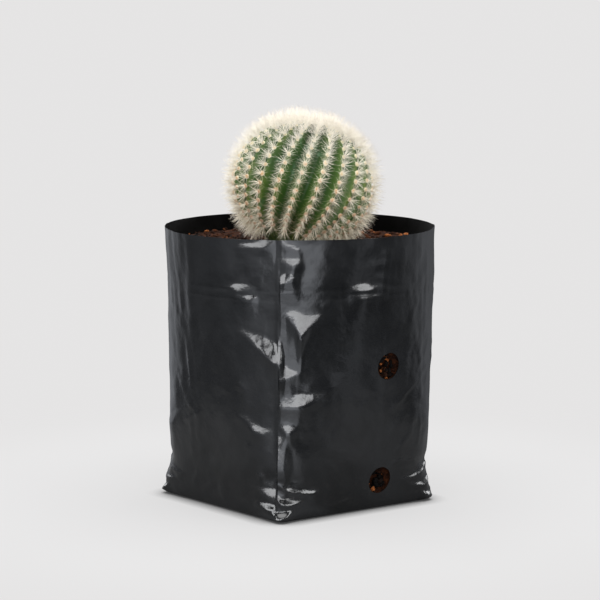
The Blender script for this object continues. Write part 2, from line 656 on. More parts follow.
# %% Push the film
# which corner, how far down the shelves move, how strong they are, and which ones
BORROWED = [
    (0, 0, 1.0, FRONT_RIGHT + FRONT_LEFT + FACES),
    (90, 4, 0.28, mirrored(FRONT_RIGHT[1:5] + FRONT_LEFT[3:7])),
    (180, -3, 0.9, FRONT_RIGHT[3:] + FRONT_LEFT[4:8] + FACES[:2]),
    (-90, 5, 0.55, mirrored(FRONT_RIGHT[8:] + FRONT_LEFT[7:])),
]


def film_push(around, up):
    """How far the film stands out of its smooth section, in mm, from all its drawn folds together."""
    push = corner_push(around, up)
    for line in FACE_LINES:
        push += crease(around, up, line, 0.22, 1.2)
    for line, height in CRINKLES:
        push += crease(around, up, line, height, 0.75)
    for fold in STACK_FOLDS:
        level = fold + 0.25 * np.sin(np.radians(around) * 3)
        strength = 0.30 + 0.70 * np.sin(np.radians(around * 2.5 + 160)) ** 2
        push -= 0.15 * strength * np.exp(0.3 - np.hypot((up - level) / 0.6, 0.3))
    for edge, drop, share, shelves in BORROWED:
        for at, top, bottom, *more in shelves:
            push += share * shelf(around - edge, up + drop, at, top, bottom, *more)
    return push


print("shelves round the bag:", sum(len(entry[3]) for entry in BORROWED))

# %% [markdown]
# ## Small crumples
# Between the drawn folds the film is full of small ones: long upright streaks where it was pulled
# over the fill, short slanting creases near the base, and a few more beside the right-hand corner.
# Nobody would draw those one by one, so a seeded random chooses them, and it gives the same bag on
# every run.

# %% Random crumples
crumple = Random(11)
STREAK_PLACES = (-52, -57, -62, -70, 66, 72, 78, 122, 140, -125, -146)
crumples = []                # the line of each one, how far it stands out, and its width
for _ in range(52):
    start = crumple.choice(STREAK_PLACES) + crumple.gauss(0, 4)
    low = crumple.uniform(24, 92)
    high = min(low + crumple.uniform(18, 44), 131)
    bend = crumple.uniform(-1.5, 1.5)
    line = [(start, low), (start + bend, (low + high) / 2), (start + crumple.uniform(-2, 2), high)]
    crumples.append((line, crumple.uniform(-0.28, 0.36), crumple.uniform(0.4, 0.9)))
for _ in range(60):
    start = crumple.uniform(-180, 180)
    height = abs(crumple.gauss(0, 10)) + 3
    line = [(start, height), (start + crumple.uniform(3, 8), height + crumple.uniform(-6, 6))]
    crumples.append((line, crumple.uniform(-0.30, 0.36), crumple.uniform(0.6, 1.3)))
for _ in range(26):
    start = crumple.gauss(72, 8)
    height = crumple.uniform(25, 100)
    line = [(start, height), (start + crumple.uniform(2, 6), height + crumple.uniform(5, 16))]
    crumples.append((line, crumple.uniform(-0.22, 0.26), crumple.uniform(0.6, 1.4)))
print("small crumples:", len(crumples))

# %% [markdown]
# ## Wrapping a grid
# A grid is the film as it came off the roll: its columns run round the tube, and its rows climb from
# the middle of the base, out to the edge and up to the mouth. Moving its points and merging the seam
# makes the tube. Columns stand closer at the corners and rows closer at the folds, so the faces are
# spent where the film bends most. The mix inside is wrapped from a grid in the same way.

# %% Wrap a grid into a closed round
COLUMNS = 312
BASE_ROWS = [(share, 0.0) for share in np.linspace(0, 1, 6)[:-1]]
WALL_HEIGHTS = np.concatenate([
    np.array([0, 0.5]), np.linspace(1.2, 22, 33)[:-1], np.linspace(22, 100, 70)[:-1],
    np.linspace(100, 112, 20)[:-1], np.linspace(112, BAG_HEIGHT / MM, 17)])
ROWS = BASE_ROWS + [(1.0, height * MM) for height in WALL_HEIGHTS]


def wrapped_grid(name, columns, rows, shape):
    """A grid whose columns run round and whose rows climb, moved by shape and merged at its seam."""
    bm = bmesh.new()
    bmesh.ops.create_grid(bm, x_segments=columns, y_segments=len(rows) - 1, size=0.5)
    flat = np.array([vert.co for vert in bm.verts])
    mesh = stored_mesh(name, bm)
    even = 2 * pi * (flat[:, 0] + 0.5)
    turn = even + 0.62 * np.sin(4 * even) / 4       # closer columns at the corners
    row = np.rint((flat[:, 1] + 0.5) * (len(rows) - 1)).astype(int)
    share = np.array([entry[0] for entry in rows])[row]
    height = np.array([entry[1] for entry in rows])[row]
    mesh.vertices.foreach_set("co", shape(turn, share, height).ravel())
    bm = bmesh.new()
    bm.from_mesh(mesh)
    bmesh.ops.remove_doubles(bm, verts=bm.verts, dist=0.00001)
    bmesh.ops.recalc_face_normals(bm, faces=bm.faces)
    bm.to_mesh(mesh)
    bm.free()
    mesh.shade_smooth()
    return mesh


print("film grid:", COLUMNS, "columns and", len(ROWS), "rows")

# %% [markdown]
# ## The film
# Now the tube gets its shape: the sections, the drawn folds, the crumples, and soft lumps of several
# sizes where the mix pushes from inside. The bag's floor rises towards its middle by less than a
# millimetre, and its mouth waves a little.

# %% Shape the film
FRONT_CORNER = 136.3         # degrees from the front corner round to the tube's seam


def near(around, middle, reach):
    """A soft share, 1 at a heading on the bag and gone a few reaches away."""
    return np.exp(-(wrap(around - middle) / reach) ** 2)


def film_shape(turn, share, height):
    """Where each point of the film goes, from its turn, its share of the way out and its height."""
    around, up = wrap(np.degrees(turn) + FRONT_CORNER), height / MM
    random_push = np.zeros(around.shape)
    for line, stands, width in crumples:
        random_push += crease(around, up, line, stands, width)
    push = film_push(around, up) + random_push
    push += 0.55 * lumps(around, up, 24, 1.5) * ease(up / 25) * ease((131 - up) / 18)
    push += 0.20 * lumps(around, up, 8, 5.5) * ease(up / 8)
    push += 0.050 * lumps(around, up, 3.6, 8.5) * ease(up / 8)
    push += 0.22 * lumps(around, up, 6.0, 12.5) * (0.35 + near(around, 0, 26)) * ease(up / 30)
    push += 0.16 * lumps(around, up, 7.5, 21.5) * near(around, 44, 9) * ease((up - 60) / 40)
    push *= ease((up + 0.4) / 3.4)
    x, y, out_x, out_y = bag_point(turn, height)
    on_wall = share > 0.999
    at_wall = np.where(on_wall, push * MM, 0)
    lift = np.where(on_wall, 0, 0.0006 * (1 - share))
    ripple = 0.0004 * lumps(around, up, 26, 3.3) * ease((up - 118) / 13)
    ripple += 0.0010 * near(around, 92, 9) * ease((up - 122) / 9)
    x, y = x * share + out_x * at_wall, y * share + out_y * at_wall
    return np.stack([x, y, height + lift + ripple], axis=1)


film_mesh = wrapped_grid("film_bag", COLUMNS, ROWS, film_shape)
film_mesh.materials.append(film_look)
film_mesh.materials.append(inside_look)
film_bag = add_object("film_bag", film_mesh)
print("film:", len(film_mesh.polygons), "faces")

# %% [markdown]
# ## Punches for the drain holes
# The drain holes are punched through both layers of the flat bag at once, so they lie in pairs, on
# the front and the back. Each punch here is a cylinder that crosses one wall.

# %% Punches
PUNCH_RADIUS = 0.00635
PUNCHES = [(0.0098, 0.0694), (0.0108, 0.0140)]       # how far along the face, and how high


def wall_at(height):
    """Distance from the bag's middle to a face at a height."""
    return float(np.interp(height, SECTIONS[:, 0], SECTIONS[:, 1] * MOUTH))


def punch(side, along, height):
    """A cylinder across one wall of the bag."""
    bm = bmesh.new()
    bmesh.ops.create_cone(bm, cap_ends=True, segments=48, radius1=PUNCH_RADIUS, radius2=PUNCH_RADIUS,
                          depth=0.016)
    place = Matrix.Translation((along, side * wall_at(height), height)) @ Matrix.Rotation(pi / 2, 4, "X")
    bmesh.ops.transform(bm, matrix=place, verts=bm.verts)
    return add_object("punch", stored_mesh("punch", bm))


punches = [punch(side, *spot) for side in (-1, 1) for spot in PUNCHES]
print("punches:", len(punches), "of", round(2e3 * PUNCH_RADIUS, 1), "mm")

# %% [markdown]
# ## Wall and holes
# A Solidify modifier gives the film a wall that grows inwards, so that the mouth shows a real cut
# edge, and gives the inner face a material of its own. A Boolean takes each punch out of it. The
# result is kept as the bag's mesh, and edges sharper than 40 degrees stay sharp in the shading.

# %% Give the film a wall and punch it
FILM_WALL = 0.00022


def keep_result(piece):
    """Replace a piece's mesh with what its modifiers make of it."""
    bpy.context.view_layer.update()
    made = bpy.data.meshes.new_from_object(piece.evaluated_get(bpy.context.evaluated_depsgraph_get()))
    piece.modifiers.clear()
    piece.data = made


wall = film_bag.modifiers.new("wall", "SOLIDIFY")
wall.thickness = FILM_WALL
wall.offset = -1
wall.material_offset = 1
for tool in punches:
    hole = film_bag.modifiers.new("hole", "BOOLEAN")
    hole.operation = "DIFFERENCE"
    hole.solver = "EXACT"
    hole.object = tool
keep_result(film_bag)
for tool in punches:
    bpy.data.objects.remove(tool)
film_bag.data.shade_smooth()
film_bag.data.set_sharp_from_angle(angle=radians(40))
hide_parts("grow_bag")
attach(film_bag, "root")
triangles = sum(len(face.vertices) - 2 for face in film_bag.data.polygons)
print("film with wall and holes:", triangles, "triangles")

# %% [markdown]
# ## Top of the potting mix
# The mix is coir: brown crumbs, a few flakes of husk and loose fibres. One lumpy body fills the bag,
# and crumbs lie on it. The height of its top is a formula, because the crumbs need it too: soft
# swells, lumps of two sizes, and a slight rise towards the film.

# %% Rough ground
SOIL_LEVEL = soil_high.z - 0.0010


def rough_ground(x, y):
    """Height of the mix over its level: soft swells and crumbs of two sizes."""
    swell = noise.noise(Vector((x * 60, y * 60, 4.0)))
    crumb = noise.noise(Vector((x * 330, y * 330, 1.0)))
    fine = noise.noise(Vector((x * 900, y * 900, 2.0)))
    edge = 0.0011 * ease((hypot(x, y) - 0.042) / 0.018)
    return float(0.0006 * swell + 0.0007 * crumb + 0.00025 * fine + edge)


print("level of the mix:", round(1e3 * SOIL_LEVEL, 1), "mm, and its middle lies",
      round(1e3 * rough_ground(0, 0), 2), "mm higher")

# %% [markdown]
# ## Body of the potting mix
# The body is wrapped from a grid as the film was, a millimetre inside it. Its side is dented between
# the crumbs, and behind each drain hole it is hollowed, to be filled with loose crumbs later.

# %% Body of the mix
SOIL_GAP = 0.0011
soil_rows = [(share, SOIL_GAP) for share in np.linspace(0, 1, 5)[:-1]]
soil_rows += [(1.0, height) for height in np.linspace(SOIL_GAP, SOIL_LEVEL - 0.002, 46)]
soil_rows += [(share, SOIL_LEVEL) for share in np.linspace(0.975, 0, 46)]


def hollow_at(x, y, z):
    """How deep the mix is hollowed behind a drain hole."""
    deep = 0.0
    for along, height in PUNCHES:
        if abs(y) > 0.03:
            away = hypot(x - along, z - height) / PUNCH_RADIUS
            deep = max(deep, 0.0055 * (1 - min(away / 1.25, 1)) ** 0.5)
    return deep


def soil_shape(turn, share, height):
    """Where each point of the mix goes."""
    x, y, out_x, out_y = bag_point(turn, height, SOIL_GAP)
    x, y = x * share, y * share
    points = np.stack([x, y, height], axis=1)
    wall = share > 0.999
    for number in np.nonzero(wall)[0]:
        px, py, pz = points[number]
        dent = 0.0009 * (noise.noise(Vector((px * 260, py * 260, pz * 260))) - 0.45) - hollow_at(px, py, pz)
        points[number, 0] += out_x[number] * min(dent, 0)
        points[number, 1] += out_y[number] * min(dent, 0)
    for number in np.nonzero(~wall & (height > 0.05))[0]:
        points[number, 2] += rough_ground(points[number, 0], points[number, 1])
    return points


soil_mesh = wrapped_grid("coir_bed", 200, soil_rows, soil_shape)
coir_bed = add_object("coir_bed", soil_mesh)
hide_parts("potting_soil")
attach(coir_bed, "root")
print("bed:", len(soil_mesh.polygons), "faces")

# %% [markdown]
# ## Finishes of the mix
# Coir is dark and damp between the crumbs and dry and rusty on top. The bed is painted in two browns
# with a rough bump, and every crumb gets a shade of its own from a value that is stored with it.

# %% Materials of the mix


def stored(tree, name):
    """A value that is stored on a mesh's points."""
    return add_node(tree, "ShaderNodeAttribute", attribute_name=name).outputs["Fac"]


bed_look, tree, shader = new_material("coir_mix")
place = object_place(tree)
tone = use_group(tree, mottle, Vector=place, Size=420.0, Light=(0.040, 0.0115, 0.0036, 1),
                 Dark=(0.003, 0.0012, 0.0008, 1))["Color"]
set_inputs(tree, shader, Base_Color=tone, Roughness=0.95, Specular_IOR_Level=0.12)
crumbly = use_group(tree, grit, Vector=place, Coarse=700.0, Fine=2600.0, Fine_share=0.5)["Height"]
add_bump(tree, shader, crumbly, 0.9, 0.0008)
soil_mesh.materials.append(bed_look)

crumb_look, tree, shader = new_material("coir_crumbs")
place = object_place(tree)
brown = ramp(tree, stored(tree, "shade"), (0.0, (0.002, 0.001, 0.0007)), (0.45, (0.022, 0.0068, 0.0023)),
             (0.8, (0.074, 0.022, 0.0066)), (1.0, (0.300, 0.098, 0.027)))
patch = use_group(tree, mottle, Vector=place, Size=1300.0, Light=(1, 1, 1, 1),
                  Dark=(0.45, 0.42, 0.4, 1))["Color"]
set_inputs(tree, shader, Base_Color=multiplied(tree, brown, patch), Roughness=0.9, Specular_IOR_Level=0.12)
crumbly = use_group(tree, grit, Vector=place, Coarse=1500.0, Fine=5000.0, Fine_share=0.5)["Height"]
add_bump(tree, shader, crumbly, 0.8, 0.0004)
print("mix materials:", bed_look.name, crumb_look.name)

# %% [markdown]
# ## Crumb and fibre shapes
# A crumb is a small ball of two dozen faces with its points moved at random, and a fibre is a bent
# rod of three sides. A few of each are enough, because every copy is stretched and turned in its own
# way. Fibres start as a triangle that is drawn out in steps, each step turned a little.

# %% Crumb and fibre shapes
dice = Random(7)


def small_shape(build):
    """Build one small shape with bmesh operators and keep it as a mesh to copy."""
    bm = bmesh.new()
    build(bm)
    return stored_mesh("template", bm)


def drawn_on(bm, edges):
    """Draw an open edge loop on by one step, and give its new points and edges."""
    made = bmesh.ops.extrude_edge_only(bm, edges=edges)["geom"]
    verts = [item for item in made if isinstance(item, bmesh.types.BMVert)]
    edges = [item for item in made if isinstance(item, bmesh.types.BMEdge)]
    return verts, [edge for edge in edges if all(vert in verts for vert in edge.verts)]


def crumb_shape(bm):
    """A small ball with its points pushed in and out."""
    bmesh.ops.create_uvsphere(bm, u_segments=6, v_segments=4, radius=1)
    for vert in bm.verts:
        vert.co *= dice.uniform(0.72, 1.22)


def fibre_shape(bm):
    """A bent rod of three sides and five steps."""
    bmesh.ops.create_circle(bm, cap_ends=False, segments=3, radius=1)
    edges = bm.edges[:]
    bend = dice.uniform(-0.5, 0.5)
    for step in range(5):
        verts, edges = drawn_on(bm, edges)
        bmesh.ops.translate(bm, vec=(bend * (step + 1), 0.4 * bend * sin(step), 5), verts=verts)


crumbs = [small_shape(crumb_shape) for _ in range(8)]
fibres = [small_shape(fibre_shape) for _ in range(5)]
print("one crumb:", len(crumbs[0].polygons), "faces, one fibre:", len(fibres[0].polygons))

# %% [markdown]
# ## Piles of small copies
# The mix and the plant carry thousands of small things: crumbs, fibres, flakes and spines. A copy of a
# small mesh is moved to its place and added to a pile, and the pile ends as one mesh. Each copy brings
# its own values, such as its shade or its age, for a material to read.

# %% Piles


class Pile:
    """One piece that gathers many placed copies of small shapes, each with its own values."""

    def __init__(self):
        self.bm = bmesh.new()

    def add(self, shape, place, **values):
        """Copy a shape to a place; a value, or a list of values, fills each named attribute."""
        copy = shape.copy()
        copy.transform(place)
        for name, value in values.items():
            filled = value if isinstance(value, list) else [value] * len(copy.vertices)
            copy.attributes.new(name, "FLOAT", "POINT").data.foreach_set("value", filled)
        self.bm.from_mesh(copy)
        bpy.data.meshes.remove(copy)

    def finish(self, name, look, body="root"):
        """Store the pile as one piece, with its finish and the body that it rides on."""
        mesh = stored_mesh(name, self.bm)
        mesh.shade_smooth()
        mesh.materials.append(look)
        made = add_object(name, mesh)
        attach(made, body)
        return made


def facing(outward, spin=0.0):
    """Rotation that turns +Z to an outward direction, after a spin about it."""
    return outward.to_track_quat("Z", "Y").to_matrix().to_4x4() @ Matrix.Rotation(spin, 4, "Z")


def placed(point, outward, size, spin=0.0):
    """Move a small shape to a point, turned outward and stretched to a size."""
    return Matrix.Translation(point) @ facing(outward, spin) @ Matrix.Diagonal((*size, 1))


pile = Pile()
print("an empty pile has", len(pile.bm.verts), "points")

# %% [markdown]
# ## Crumbs and fibres on top
# Crumbs lie thick over the top of the mix, small ones far more often than big ones, and fibres lie
# loosely among them. None lie in the plant's own place.

# %% Crumbs and fibres on top


def somewhere(reach):
    """A random place in a round, the same chance everywhere in it, and its heading."""
    away, heading = reach * dice.random() ** 0.5, dice.uniform(0, 2 * pi)
    return away * cos(heading), away * sin(heading), heading


for _ in range(1500):
    x, y, _ = somewhere(0.0605)
    if hypot(x + 0.006, y) < 0.013:
        continue
    size = 0.0004 + 0.0011 * dice.random() ** 3
    ground = SOIL_LEVEL + rough_ground(x, y)
    upward = Vector((dice.gauss(0, 0.4), dice.gauss(0, 0.4), 1)).normalized()
    form = (size * dice.uniform(0.8, 1.8), size, size * dice.uniform(0.45, 0.9))
    pile.add(dice.choice(crumbs), placed((x, y, ground + 0.3 * size), upward, form, dice.uniform(0, pi)),
             shade=min(1, max(0, dice.gauss(0.48, 0.22))))
for _ in range(150):
    x, y, heading = somewhere(0.058)
    lie = Vector((cos(3 * heading), sin(3 * heading), dice.uniform(-0.05, 0.22))).normalized()
    ground = SOIL_LEVEL + rough_ground(x, y) + 0.0006
    thick = dice.uniform(0.00006, 0.00013)
    fibre = dice.choice(fibres)
    form = (thick, thick, dice.uniform(0.00012, 0.00030))
    pile.add(fibre, placed((x, y, ground), lie, form), shade=dice.uniform(0.5, 0.9))
print("on top:", len(pile.bm.verts), "points")

# %% [markdown]
# ## Crumbs behind the drain holes
# The holes are the only other place where the mix can be seen. The hollows behind them are filled
# with dark crumbs, and a few rusty ones among them catch the light.

# %% Crumbs behind the holes
for side in (-1, 1):
    for along, height in PUNCHES:
        for _ in range(46):
            across, rise, _ = somewhere(PUNCH_RADIUS * 1.05)
            deep = dice.uniform(0.0030, 0.0058)
            size = dice.uniform(0.0006, 0.0017)
            outward = Vector((dice.gauss(0, 0.5), side, dice.gauss(0, 0.5))).normalized()
            form = (size * dice.uniform(0.9, 1.7), size, size * 0.7)
            spot = (along + across, side * (wall_at(height) - deep), height + rise)
            pile.add(dice.choice(crumbs), placed(spot, outward, form, dice.uniform(0, pi)),
                     shade=dice.choice((0.0, 0.0, 0.0, 0.05, 0.1, 0.4, 1.0)))
crumb_piece = pile.finish("coir_crumbs", crumb_look)
print("crumbs:", len(crumb_piece.data.polygons), "faces")

# %% [markdown]
# ## Loose flakes
# A few bigger flakes of husk lie on top. The solid model has twelve plain chips for them, and each one
# is replaced here by three rough pieces that overlap, as a flake that has split does.

# %% Loose flakes
CHIPS = [f"coir_chip_{number:02d}" for number in range(1, 13)]
flakes = Pile()
for chip in CHIPS:
    low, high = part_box(chip)
    middle, size = (low + high) / 2, (high - low) / 2
    for part in range(3):
        shift = Vector((dice.gauss(0, 0.25) * size.x, dice.gauss(0, 0.25) * size.y, -0.0006))
        tilt = Vector((dice.gauss(0, 0.2), dice.gauss(0, 0.2), 1)).normalized()
        form = (size.x * dice.uniform(0.5, 0.9), size.y * dice.uniform(0.5, 0.9), size.z * 0.7)
        flakes.add(dice.choice(crumbs), placed(middle + shift, tilt, form, dice.uniform(0, pi)),
                   shade=dice.uniform(0.4, 0.85))
flake_piece = flakes.finish("coir_flakes", crumb_look)
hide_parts(*CHIPS)
print("flakes:", len(flake_piece.data.polygons), "faces")

# %% [markdown]
# ## The globe and its lean
# The plant grew towards its light, so it leans. Everything on it is worked out as if it stood upright
# at the origin, and one matrix then moves it to its place. A rib is a line of longitude that turns a
# little with height. Its profile is an ellipse, dimpled at the growing tip and tucked in at the soil.

# %% Profile of the globe
GLOBE_MIDDLE = Vector((0.0013, -0.0010, 0.1517))
GLOBE = GLOBE_MIDDLE + Vector((0.0010 * cos(LOOK_AROUND), 0.0010 * sin(LOOK_AROUND), -0.0003))
LEAN = radians(13.7)
LEAN_TOWARDS = radians(5.8)
CREST_RADIUS = 0.0330
HALF_HEIGHT = 0.0302
tipping_axis = Vector((-sin(LEAN_TOWARDS), cos(LEAN_TOWARDS), 0))
plant = Matrix.Translation(GLOBE) @ Matrix.Rotation(LEAN, 4, tipping_axis)


def crest_profile(latitude):
    """Distance from the plant's axis, and height above its middle, along a rib's crest."""
    dimple = 0.0022 * np.exp(-((pi / 2 - latitude) / radians(11)) ** 2)
    out, up = CREST_RADIUS * np.cos(latitude), HALF_HEIGHT * np.sin(latitude) - dimple
    tuck = ease((radians(-58) - latitude) / radians(26))
    return out * (1 - 0.45 * tuck), up - 0.006 * tuck


print("globe:", round(2e3 * CREST_RADIUS, 1), "mm across and", round(2e3 * HALF_HEIGHT, 1), "mm tall")

# %% [markdown]
# ## Ribs and cushions
# The ribs twist slowly, their furrows are deepest at the middle, and the cushions stand closer
# together near the soil and near the crown. These few rules place everything that grows on the skin.

# %% Ribs
RIBS = 22
RIB_DEPTH = 0.0042


def twist(latitude):
    """How far a rib has turned at a latitude."""
    return 0.16 * latitude + 0.05 * latitude ** 3


def rib_depth(latitude):
    """Depth of the furrows, which run out towards the soil and towards the tip."""
    above_soil = ease((latitude + radians(66)) / radians(20))
    return RIB_DEPTH * above_soil * ease((radians(88) - latitude) / radians(40))


def areole_latitudes(rib):
    """Latitudes of the cushions on one rib, closer together near the soil and near the crown."""
    found, latitude = [], radians(-57) + radians(8.2) * ((rib * 0.381) % 1)
    while latitude < radians(79):
        found.append(latitude)
        step = 8.2 - 1.9 * float(ease((radians(-22) - latitude) / radians(25)))
        step -= 4.6 * float(ease((latitude - radians(42)) / radians(34)))
        latitude += radians(step)
    return found


def point_on_rib(rib, latitude, lift=0.0):
    """A point over a crest and the outward direction there, both in the object's space."""
    out, up = (float(v) for v in crest_profile(latitude))
    turn = 2 * pi * rib / RIBS + twist(latitude)
    local = Vector((out * cos(turn), out * sin(turn), up))
    outward = Vector((out * cos(turn) / CREST_RADIUS ** 2, out * sin(turn) / CREST_RADIUS ** 2,
                      up / HALF_HEIGHT ** 2)).normalized()
    return plant @ (local + outward * lift), plant.to_3x3() @ outward


print("ribs:", RIBS, "with cushions:", sum(len(areole_latitudes(rib)) for rib in range(RIBS)))

# %% [markdown]
# ## Skin
# The skin is one sphere with fourteen points across each rib, moved as a whole: its rings follow the
# crest's profile, sink in the furrows, swell at every cushion and turn with the twist. Working on
# all points at once keeps it quick. The first step finds where each point lies on its rib.

# %% Where each point of the skin lies
ACROSS = 14
skin_bm = bmesh.new()
bmesh.ops.create_uvsphere(skin_bm, u_segments=RIBS * ACROSS, v_segments=118, radius=1)
skin_mesh = stored_mesh("cactus_skin", skin_bm)
count = len(skin_mesh.vertices)
ball = np.empty(count * 3)
skin_mesh.vertices.foreach_get("co", ball)
ball = ball.reshape(-1, 3)
latitude = np.arctan2(ball[:, 2], np.hypot(ball[:, 0], ball[:, 1]))
longitude = np.arctan2(ball[:, 1], ball[:, 0]) % (2 * pi)
rib_place = longitude * RIBS / (2 * pi)
rib_number = np.rint(rib_place).astype(int) % RIBS
from_crest = np.abs(rib_place - np.rint(rib_place)) * 2
furrow = 0.5 - 0.5 * np.cos(pi * from_crest ** 0.92)
swell = np.zeros(count)
for rib in range(RIBS):
    mine = rib_number == rib
    bumps = sum(np.exp(-((latitude[mine] - at) / radians(2.4)) ** 2) for at in areole_latitudes(rib))
    swell[mine] = bumps * np.exp(-(from_crest[mine] / 0.42) ** 2)
print("skin:", count, "points,", round(float((furrow > 0.5).mean()), 2), "of them in the furrows")

# %% [markdown]
# ## Shape of the skin
# Now the points move. Two values are stored on them, how deep in a furrow each lies and how far up
# the plant it is, because the skin's colour follows the ribs and not the world.

# %% Shape the skin


def noise_over(points, size, shift=(0, 0, 0)):
    """Smooth noise at many points."""
    return np.array([noise.noise(Vector(point) * size + Vector(shift)) for point in points])


out, up = crest_profile(latitude)
length = np.hypot(out, up)
uneven = noise_over(ball, 3.1) + 0.5 * noise_over(ball, 9)
scale = (length - rib_depth(latitude) * furrow + 0.00055 * (swell - 0.4) + 0.00035 * uneven) / length
turn = longitude + twist(latitude) + 0.012 * noise_over(ball, 2.3, (5, 0, 0))
local = np.stack([out * scale * np.cos(turn), out * scale * np.sin(turn), up * scale], axis=1)
matrix = np.array(plant)
skin_mesh.vertices.foreach_set("co", (local @ matrix[:3, :3].T + matrix[:3, 3]).ravel())
for name, values in (("furrow", furrow), ("height_on_plant", latitude / pi + 0.5)):
    skin_mesh.attributes.new(name, "FLOAT", "POINT").data.foreach_set("value", values)
skin_mesh.shade_smooth()
cactus_skin = add_object("cactus_skin", skin_mesh)
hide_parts("cactus_body")
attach(cactus_skin, "root")
print("skin:", len(skin_mesh.polygons), "faces")

# %% [markdown]
# ## Finish of the skin
# The skin is a waxy green, yellower on the crests and deep in the furrows, with a thin blue bloom in
# patches and a corky brown near the soil. The stored furrow and height values choose between them.

# %% Skin material
skin_look, tree, shader = new_material("cactus_skin")
place = object_place(tree)
green = ramp(tree, stored(tree, "furrow"), (0.0, (0.062, 0.104, 0.020)), (0.30, (0.030, 0.072, 0.009)),
             (0.70, (0.0150, 0.052, 0.003)), (1.0, (0.010, 0.038, 0.0016)))
fresh = use_group(tree, mottle, Vector=place, Size=75.0, Light=(1.45, 1.22, 0.60, 1),
                  Dark=(0.66, 0.80, 0.70, 1))["Color"]
bloom = use_group(tree, mottle, Vector=place, Size=120.0, Low=0.60, High=0.80)["Mask"]
bloomed = mix(tree, bloom, multiplied(tree, green, fresh), (0.10, 0.20, 0.12, 1))
aged = ramp(tree, stored(tree, "height_on_plant"), (0.12, (0.62, 0.50, 0.36)), (0.30, (1, 1, 1)))
set_inputs(tree, shader, Base_Color=multiplied(tree, bloomed, aged), Roughness=0.55,
           Specular_IOR_Level=0.35, Subsurface_Weight=0.12,
           Subsurface_Radius=(0.0012, 0.0020, 0.0006), Subsurface_Scale=1.0)
pores = use_group(tree, grit, Vector=place, Coarse=420.0, Fine=2400.0, Fine_share=0.35)["Height"]
add_bump(tree, shader, pores, 0.35, 0.0006)
skin_mesh.materials.append(skin_look)
print("skin material:", skin_look.name)

# %% [markdown]
# ## Spine and cushion shapes
# A spine is a thin cone, a little bent. It is drawn out of a triangle in three steps, so one spine
# costs nine faces, and there are thousands. A cushion is a small ball of wool, pushed about. Values
# along the spine and towards the cushion's top are kept, to fill the attributes of each copy.

# %% Spine and cushion shapes
grow = Random(21)
SPINE_WIDTHS = (1.0, 0.80, 0.50, 0.06)


def spine_shape(bend):
    """A cone of one unit with a bend, drawn out of a triangle."""
    def build(bm):
        bmesh.ops.create_circle(bm, cap_ends=False, segments=3, radius=1)
        edges = bm.edges[:]
        for step, (last, width) in enumerate(zip(SPINE_WIDTHS, SPINE_WIDTHS[1:])):
            verts, edges = drawn_on(bm, edges)
            centre = sum((vert.co for vert in verts), Vector()) / len(verts)
            bmesh.ops.scale(bm, vec=(width / last, width / last, 1), verts=verts,
                            space=Matrix.Translation(-centre))
            bmesh.ops.translate(bm, vec=(bend * (step + 0.5), 0, 1 / 3), verts=verts)
    return small_shape(build)


def cushion_shape(bm):
    """A ball of wool, a little uneven."""
    bmesh.ops.create_uvsphere(bm, u_segments=8, v_segments=5, radius=1)
    for vert in bm.verts:
        vert.co *= grow.uniform(0.86, 1.14)


spines = [spine_shape(bend) for bend in (-0.9, -0.4, 0.0, 0.5, 1.0)]
along_spine = [vert.co.z for vert in spines[0].vertices]
cushions = [small_shape(cushion_shape) for _ in range(4)]
hearts = [[max(0.0, vert.co.z) ** 1.5 for vert in shape.vertices] for shape in cushions]
print("one spine:", len(spines[0].polygons), "faces, one cushion:", len(cushions[0].polygons))

# %% [markdown]
# ## Finish of the spines
# Spines are straw, paler when young and greyer at the tip. They read an age that is stored with
# every spine, so the low rows are browner.

# %% Spine material
WHITE = (1, 1, 1, 1)
spine_look, tree, shader = new_material("spine")
place = object_place(tree)
straw = ramp(tree, stored(tree, "age"), (0.0, (0.870, 0.830, 0.735)), (0.35, (0.850, 0.790, 0.660)),
             (0.65, (0.640, 0.570, 0.410)), (1.0, (0.400, 0.320, 0.200)))
tip_tone = ramp(tree, stored(tree, "along"), (0.60, (1, 1, 1)), (1.0, (0.70, 0.65, 0.63)))
streak = use_group(tree, mottle, Vector=place, Size=500.0, Light=WHITE, Dark=(0.88, 0.86, 0.84, 1))["Color"]
spine_tone = multiplied(tree, multiplied(tree, straw, tip_tone), streak)
set_inputs(tree, shader, Base_Color=spine_tone, Roughness=0.5)
print("spine material:", spine_look.name)

# %% [markdown]
# ## Finish of the cushions
# A cushion is cream wool with a tan heart where its spines come out. Young ones are pale all over,
# and old ones near the soil turn brown. Sheen gives the soft edge that wool has.

# %% Cushion material
cushion_look, tree, shader = new_material("areole_wool")
place = object_place(tree)
age = stored(tree, "age")
rim_tone = ramp(tree, age, (0.0, (0.820, 0.780, 0.560)), (0.5, (0.760, 0.640, 0.440)),
                (1.0, (0.460, 0.300, 0.190)))
heart_tone = ramp(tree, age, (0.0, (0.800, 0.720, 0.420)), (0.35, (0.760, 0.450, 0.200)),
                  (0.7, (0.680, 0.300, 0.110)), (1.0, (0.420, 0.180, 0.090)))
wool_tone = mix(tree, stored(tree, "heart"), rim_tone, heart_tone)
fluff = use_group(tree, mottle, Vector=place, Size=2600.0, Light=WHITE, Dark=(0.78, 0.74, 0.70, 1))["Color"]
set_inputs(tree, shader, Base_Color=multiplied(tree, wool_tone, fluff), Roughness=0.95, Sheen_Weight=0.35)
woolly = use_group(tree, grit, Vector=place, Coarse=1800.0, Fine=5200.0, Fine_share=0.6)["Height"]
add_bump(tree, shader, woolly, 0.8, 0.0003)
print("cushion material:", cushion_look.name)

# %% [markdown]
# ## Placing spines
# A spine grows from a root in an aim that leans off the plant's outward direction. Spines come in
# rings, all leaning about as far, and a seeded random turns each one a little.

# %% Place spines
SPINE_BASE = 0.000098        # half the width of a spine at its root


def within(value):
    """A value held between 0 and 1."""
    return min(1, max(0, value))


